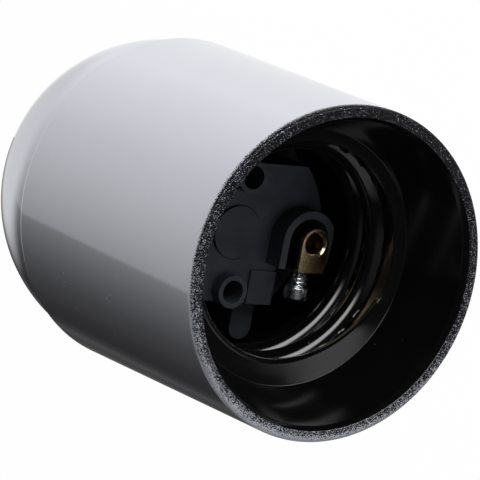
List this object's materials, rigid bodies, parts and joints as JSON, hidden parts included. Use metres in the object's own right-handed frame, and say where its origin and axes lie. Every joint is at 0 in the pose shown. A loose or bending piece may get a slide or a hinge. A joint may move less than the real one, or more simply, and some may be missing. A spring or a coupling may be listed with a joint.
{
  "type": "lamp holder",
  "caption": "E27 lamp holder with a smooth metallised skirt, a domed cap with an M10x1 entry, and a contact carrier with screw terminals.",
  "frame": {"origin": "centre of the neck's end face, where the pipe or nipple enters", "axes": "+Z is the holder's axis and points out of the mouth; +X passes through the first terminal's wire hole"},
  "size_m": [0.04, 0.04, 0.0596],
  "materials": {
    "metallised_shell": "thermoplastic, mirror-metallised outside and glossy black inside",
    "carrier_plastic": "matte dark grey thermoplastic",
    "terminal_brass": "machined brass",
    "contact_bronze": "rolled spring bronze",
    "plated_steel": "zinc-plated steel"
  },
  "bodies": {
    "base": {"rear_cap": "metallised_shell", "thread_bush": "plated_steel", "contact_carrier": "carrier_plastic", "terminal_block_1": "terminal_brass", "terminal_block_2": "terminal_brass", "terminal_strip_1": "terminal_brass", "terminal_strip_2": "terminal_brass", "contact_rivet_1": "terminal_brass", "contact_rivet_2": "terminal_brass"},
    "skirt": {"skirt": "metallised_shell"},
    "terminal_screw_1": {"terminal_screw_1": "plated_steel"},
    "terminal_screw_2": {"terminal_screw_2": "plated_steel"},
    "neck_lock_screw": {"neck_lock_screw": "plated_steel"},
    "centre_contact": {"centre_contact": "contact_bronze"},
    "side_contact": {"side_contact": "contact_bronze"}
  },
  "joints": [
    {"name": "skirt_unscrew", "type": "slide", "parent": "base", "child": "skirt", "axis": [0, 0, 1], "range_m": [0, 0.007]},
    {"name": "clamp_screw_1", "type": "slide", "parent": "base", "child": "terminal_screw_1", "axis": [0, 1, 0], "range_m": [0, 0.0016]},
    {"name": "clamp_screw_2", "type": "slide", "parent": "base", "child": "terminal_screw_2", "axis": [0, -1, 0], "range_m": [0, 0.0016]},
    {"name": "lock_screw", "type": "slide", "parent": "base", "child": "neck_lock_screw", "axis": [0, 1, 0], "range_m": [-0.002, 0.0005]},
    {"name": "centre_contact_flex", "type": "hinge", "parent": "base", "child": "centre_contact", "pos_m": [0, 0.00695, 0.0278], "axis": [-1, 0, 0], "range_deg": [0, 6], "stiffness_Nm_per_rad": 0.05},
    {"name": "side_contact_flex", "type": "hinge", "parent": "base", "child": "side_contact", "pos_m": [0, -0.00695, 0.0278], "axis": [-1, 0, 0], "range_deg": [0, 5], "stiffness_Nm_per_rad": 0.05}
  ]
}
